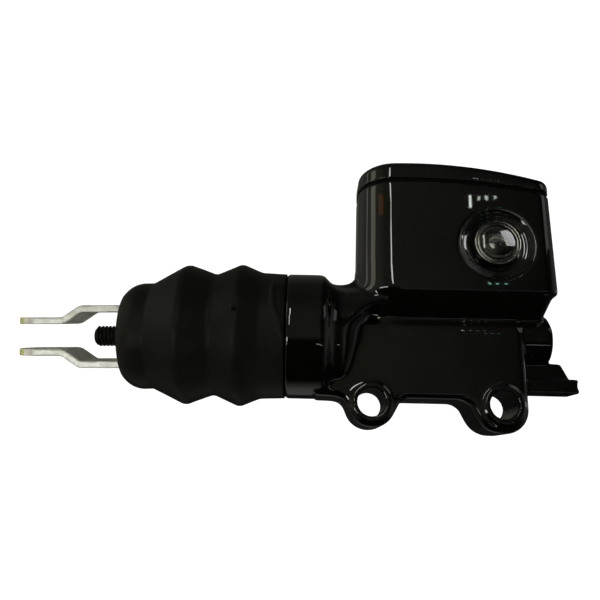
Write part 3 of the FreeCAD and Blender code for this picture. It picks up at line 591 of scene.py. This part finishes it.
def crease(x, angle):
    """Height of the fold in the boot's skin beside the collar, in front and a little above its middle."""
    up = math.degrees(angle)
    line = CREASE_X + CREASE_LEAN * max(CREASE_TURN - up, 0.0)
    ends = clamped((up - CREASE_LOW) / 10) * clamped((CREASE_HIGH - up) / 12)
    past = (x - line) / CREASE_WIDTH
    flap = CREASE_FLAP / (1 + math.exp(-6 * past)) * clamped((BOOT_X1 - x) / (1.2 * MM))
    return ends * CREASE_RISE * (math.exp(-past * past) + flap)


def boot_piece(x0, x1, mouth=()):
    """Part of the bellows between two stations, with its wall; mouth gives the section round its open end."""
    outline = [p for p in densified(boot_outline(), 0.6 * MM) if x0 - 1e-7 <= p.x <= x1 + 1e-7]
    if abs(outline[0].x - x0) > 1e-6:
        outline.insert(0, Vector((x0, radius_at(x0))))
    if abs(outline[-1].x - x1) > 1e-6:
        outline.append(Vector((x1, radius_at(x1))))
    inner = [Vector((p.x, p.y - BOOT_WALL)) for p in outline]
    loop = [*mouth, *outline, *inner[::-1]]
    steps = 220
    verts = []
    for p in loop:
        share = boot_share(p.x)
        outside = p in outline
        for k in range(steps):
            a = 2 * math.pi * k / steps - math.pi
            r = p.y + (crease(p.x, a) if outside else 0.0)
            point = Vector((p.x, AXIS_Y - r * math.cos(a), AXIS_Z + r * math.sin(a)))
            verts.append(hang(point, share))
    return verts, ring_faces(len(loop), steps, closed=True)


def vent():
    """The small moulded breather hole on the ridge next to the collar: a low rim round a near-black recess,
    painted shade for the hole's dark inside.
    """
    outward = Vector((0, -math.cos(VENT_ANGLE), math.sin(VENT_ANGLE)))
    centre = Vector((VENT_X, AXIS_Y, AXIS_Z)) + outward * radius_at(VENT_X)
    pieces = []
    for name, slot, rings in (
            ("vent_rim", "boot_rubber", [(-0.4, 1.4), (0.02, 1.3), (0.18, 1.05), (0.16, 0.9), (0.02, 0.85)]),
            # the shallow recess wears near-black rubber: painted shade standing in for the dark inside of the hole
            ("vent_recess_painted_shade", "gasket_rubber", [(0.14, 0.95), (0.04, 0.9), (0.03, 0.5), (0.03, 0.001)])):
        verts, faces = lathe([(h * MM, w * MM) for h, w in rings], centre, outward, 24)
        pieces.append(mesh_object(name, verts, faces, slot, "housing"))
    return pieces


def boot():
    """Bellows in two halves that meet in the valley between the ridges."""
    mouth = [Vector((BOOT_X0 + in_x * MM, BOOT_MOUTH_R + out_r * MM)) for in_x, out_r in (
        (1.8, 2.2), (1.75, 0.3), (1.2, 0.0), (0.35, 0.0), (0.0, 0.4))]
    verts, faces = boot_piece(BOOT_X0, BOOT_SPLIT, mouth)
    front = mesh_object("boot_front", verts, faces, "boot_rubber")
    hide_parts("boot")
    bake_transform(front)
    verts, faces = boot_piece(BOOT_SPLIT, BOOT_X1)
    rear = mesh_object("boot_rear", verts, faces, "boot_rubber", "housing")
    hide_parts("boot")
    for piece in [rear] + vent():
        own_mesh(piece)


# ---------------------------------------------------------------- pushrod, clevis and spring
def thread_rings(steps):
    """(along, radii) rings of the thread, which starts in a taper and fades out towards the shank."""
    start = (ROD_LOW.x - BALL.x) / math.cos(DROOP) + 0.02 * MM
    lead = 1.25 * MM
    rows = round((THREAD_END - start) / THREAD_PITCH * 10)
    rings = []
    for i in range(rows + 1):
        along = start + (THREAD_END - start) * i / rows
        taper = min((along - start) / (1.1 * MM), 1.0)
        fade = clamped((THREAD_END - along) / (1.5 * MM))
        ring = []
        for k in range(steps):
            phase = ((along - start) / THREAD_PITCH - k / steps) % 1.0
            flank = clamped(abs(phase - 0.5) * 2.6 - 0.25)
            ring.append(min(THREAD_R - THREAD_DEPTH * flank * fade, THREAD_R - lead + lead * taper))
        rings.append((along, ring))
    return rings


def threaded_rod():
    """Pushrod with its real thread, its turned shank and its ball."""
    steps = 48
    rings = thread_rings(steps)
    start = rings[0][0]
    shank_end = -math.sqrt(BALL_R ** 2 - SHANK_R ** 2)
    rings += [(along, [SHANK_R] * steps) for along in (THREAD_END + 0.8 * MM, shank_end)]
    low = math.asin(SHANK_R / BALL_R)
    for i in range(1, 17):
        a = low + (math.pi - low) * i / 16
        rings.append((-BALL_R * math.cos(a), [max(BALL_R * math.sin(a), 1e-6)] * steps))
    side = Vector((0, 1, 0))
    up = SPIN_AXIS.cross(side)
    verts = [BALL + SPIN_AXIS * start]
    for along, ring in rings:
        for k, r in enumerate(ring):
            a = 2 * math.pi * k / steps
            verts.append(BALL + SPIN_AXIS * along + (side * math.cos(a) + up * math.sin(a)) * r)
    faces = [(0, 1 + (k + 1) % steps, 1 + k) for k in range(steps)]
    faces += ring_faces(len(rings), steps, first=1)
    rod = mesh_object("threaded_rod", verts, faces, "rod_black_oxide", "pushrod")
    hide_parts("pushrod")


def fork():
    """The clevis with the rounded edges of a tumbled stamping."""
    softened("clevis", "clevis_fork", 0.3 * MM, 3, 0.6, "pushrod")


def coil_spring():
    """Return spring wound round the bore axis between the ends of the CAD spring."""
    x0 = SPRING_LOW.x + SPRING_WIRE_R
    x1 = SPRING_HIGH.x - SPRING_WIRE_R
    around = 10
    count = SPRING_TURNS * 28
    verts = []
    for i in range(count + 1):
        a = 2 * math.pi * SPRING_TURNS * i / count
        outward = Vector((0, math.cos(a), math.sin(a)))
        centre = Vector((x0 + (x1 - x0) * i / count, AXIS_Y, AXIS_Z)) + outward * SPRING_COIL_R
        for k in range(around):
            b = 2 * math.pi * k / around
            across = outward * math.cos(b) + Vector((math.sin(b), 0, 0))
            verts.append(centre + across * SPRING_WIRE_R)
    faces = ring_faces(count + 1, around)
    faces.append(tuple(range(around)))
    faces.append(tuple(count * around + k for k in reversed(range(around))))
    spring = mesh_object("coil_spring", verts, faces, "spring_steel", "housing")
    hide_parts("return_spring")
    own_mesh(spring)


# ---------------------------------------------------------------- camera, floor and light
def camera():
    """The camera, in front of the part and a little below it, looking up."""
    data = bpy.data.cameras.new("camera")
    data.lens = CAMERA_LENS
    data.sensor_width = 36.0
    data.clip_start = 0.01
    data.clip_end = 200
    ahead = Vector((math.sin(CAMERA_YAW), math.cos(CAMERA_YAW), 0))
    forward = ahead * math.cos(CAMERA_PITCH) + Vector((0, 0, math.sin(CAMERA_PITCH)))
    level = Vector((math.cos(CAMERA_YAW), -math.sin(CAMERA_YAW), 0))
    above = level.cross(forward)
    right = level * math.cos(CAMERA_ROLL) + above * math.sin(CAMERA_ROLL)
    up = above * math.cos(CAMERA_ROLL) - level * math.sin(CAMERA_ROLL)
    turn = Matrix((right, up, -forward)).transposed()
    obj = link(bpy.data.objects.new("camera", data))
    obj.matrix_world = Matrix.Translation(CAMERA_AT) @ turn.to_4x4()
    bpy.context.scene.camera = obj


def floor():
    """Pale floor, far enough below to leave no shadow in view."""
    n = Nodes("floor")
    speckle = n.noise(2.0, 2.0)
    n.set(colour=n.ramp(speckle, [(0.3, (0.97, 0.97, 0.97)), (0.7, (0.995, 0.995, 0.995))]), rough=0.9,
          glow=(1.0, 1.0, 1.0), glow_strength=0.6)
    mesh = bpy.data.meshes.new("floor")
    h = FLOOR_HALF
    corners = [(x, y, FLOOR_Z) for x, y in ((-h, -h), (h, -h), (h, h), (-h, h))]
    mesh.from_pydata(corners, [], [(0, 1, 2, 3)])
    mesh.materials.append(n.material)
    obj = link(bpy.data.objects.new("floor", mesh))
    obj.visible_glossy = False


def area_light(name, place, target, width, height, power, colour):
    """A flat lamp at place that faces target."""
    data = bpy.data.lights.new(name, "AREA")
    data.shape = "RECTANGLE"
    data.size = width
    data.size_y = height
    data.energy = power
    data.color = colour
    obj = link(bpy.data.objects.new(name, data))
    obj.location = place
    obj.rotation_euler = (Vector(target) - Vector(place)).to_track_quat("-Z", "Y").to_euler()
    return obj


def tones_along(tree, part, stops):
    """Tone of the room against one part, from -1 to 1, of the direction looked in."""
    scale = add_node(tree, "ShaderNodeMapRange", {"Value": part, "From Min": -1.0}).outputs["Result"]
    return add_ramp(tree, scale, [((place + 1) / 2, colour) for place, colour in stops])


def room_tones(tree, way):
    """What the gloss paint mirrors: tones by height ahead and behind, changed from side to side."""
    ahead, behind = [tones_along(tree, way.outputs["Z"], stops) for stops in (ROOM_AHEAD, ROOM_BEHIND)]
    share = add_node(tree, "ShaderNodeMapRange", {
        "Value": way.outputs["Y"], "From Min": 0.15, "From Max": 0.55}).outputs["Result"]
    tone = add_node(tree, "ShaderNodeMix", {0: share, 6: ahead, 7: behind}, data_type="RGBA").outputs[2]
    for blend, stops in (("MULTIPLY", ROOM_ACROSS), ("ADD", ROOM_SIDES)):
        inputs = {0: 1.0, 6: tone, 7: tones_along(tree, way.outputs["X"], stops)}
        tone = add_node(tree, "ShaderNodeMix", inputs, data_type="RGBA", blend_type=blend).outputs[2]
    return tone


def studio():
    """Pale room for the view, soft light from the left, and a darker room for the gloss paint to mirror."""
    world = bpy.data.worlds.new("studio")
    world.use_nodes = True
    tree = world.node_tree
    pale = tree.nodes["Background"]
    pale.inputs["Color"].default_value = (1, 1, 1, 1)
    pale.inputs["Strength"].default_value = ROOM_WHITE
    looked = add_node(tree, "ShaderNodeTexCoord").outputs["Generated"]
    way = add_node(tree, "ShaderNodeSeparateXYZ", {"Vector": looked})
    soft = tones_along(tree, way.outputs["X"], SOFT_LIGHT)
    path = add_node(tree, "ShaderNodeLightPath")
    surface = pale.outputs["Background"]
    for kind, tone in (("Is Glossy Ray", room_tones(tree, way)), ("Is Diffuse Ray", soft)):
        light = add_node(tree, "ShaderNodeBackground", {"Color": tone}).outputs["Background"]
        inputs = {0: path.outputs[kind], 1: surface, 2: light}
        surface = add_node(tree, "ShaderNodeMixShader", inputs).outputs["Shader"]
    tree.links.new(surface, tree.nodes["World Output"].inputs["Surface"])
    bpy.context.scene.world = world
    bpy.context.scene.view_settings.view_transform = "Standard"


def glint(name, place, normal, distance, width, height, power, colour=(1, 1, 1)):
    """A lamp placed where a glossy surface at place, facing along normal, mirrors it to the camera."""
    place = Vector(place) * MM
    normal = Vector(normal).normalized()
    seen = (place - CAMERA_AT).normalized()
    away = seen - 2 * seen.dot(normal) * normal
    return area_light(name, place + away * distance, place, width, height, power, colour)


def wall_dash(name, place, height, power, colour):
    """A narrow lamp far off that shows as a dash on the reservoir's drafted wall."""
    glint(name, place, WALL_NORMAL, 1.0, 0.004, height, power, colour)


def lamps(window_pieces):
    """Lamps for the highlights; the window's own lamp lights only the pieces of the sight glass."""
    glint("tall_lamp", (-17.1, -28.3, 62), (-0.157, -0.988, 0), 0.6, 0.035, 0.34, 0.33)
    glint("side_lamp", (-23.6, -25.6, 62), (-0.62, -0.785, 0), 0.6, 0.16, 0.34, 0.18, (0.95, 0.95, 0.75))
    glint("edge_lamp", (-25.8, -23.4, 62), (-0.78, -0.63, 0), 0.6, 0.05, 0.30, 0.04, (0.95, 0.93, 0.85))
    glint("warm_lamp", (-20.8, -27.2, 78.6), (-0.41, -0.91, 0), 0.6, 0.15, 0.026, 0.006, (1.0, 0.32, 0.05))
    glint("fork_lamp", (-140, -19, 12), (0, -0.97, -0.23), 0.5, 0.2, 0.08, 0.36)
    window = glint("window_lamp", (27.5, -29.1, 60.8), (0.28, -0.955, 0.10), 0.35, 0.27, 0.22, 1.25)
    window.light_linking.receiver_collection = bpy.data.collections.new("lit_by_window_lamp")
    for piece in window_pieces:
        window.light_linking.receiver_collection.objects.link(piece)
    glint("block_lamp", (31.2, -19.2, 14), (0.70, -0.71, 0), 0.6, 0.10, 0.14, 0.05)
    glint("corner_lamp", (27.5, -29.1, 60.8), (0.27, -0.956, 0.118), 0.35, 0.17, 0.15, 0.05)
    glint("lip_lamp", (12, -28.2, 39.9), (0, -0.92, -0.38), 0.6, 0.40, 0.012, 0.05)
    wall_dash("ceiling_lamp_0", (13.4, -28.1, 75.4), 0.026, 0.005, (0.9, 1.0, 0.9))
    for k in range(3):
        wall_dash(f"ceiling_lamp_{k + 1}", (16.7 + 2.8 * k, -28.1, 76.7), 0.009, 0.0010, (0.8, 1.0, 0.8))
        wall_dash(f"teal_lamp_{k}", (18.6 + 2.8 * k, -28.5, 43.4), 0.010, 0.0008, (0.4, 1.0, 0.8))


painted_castings()
window_pieces = [sight_lens(), sight_ring(), sight_tray(), sight_dish()]
boot()
threaded_rod()
fork()
coil_spring()
camera()
floor()
studio()
lamps(window_pieces)
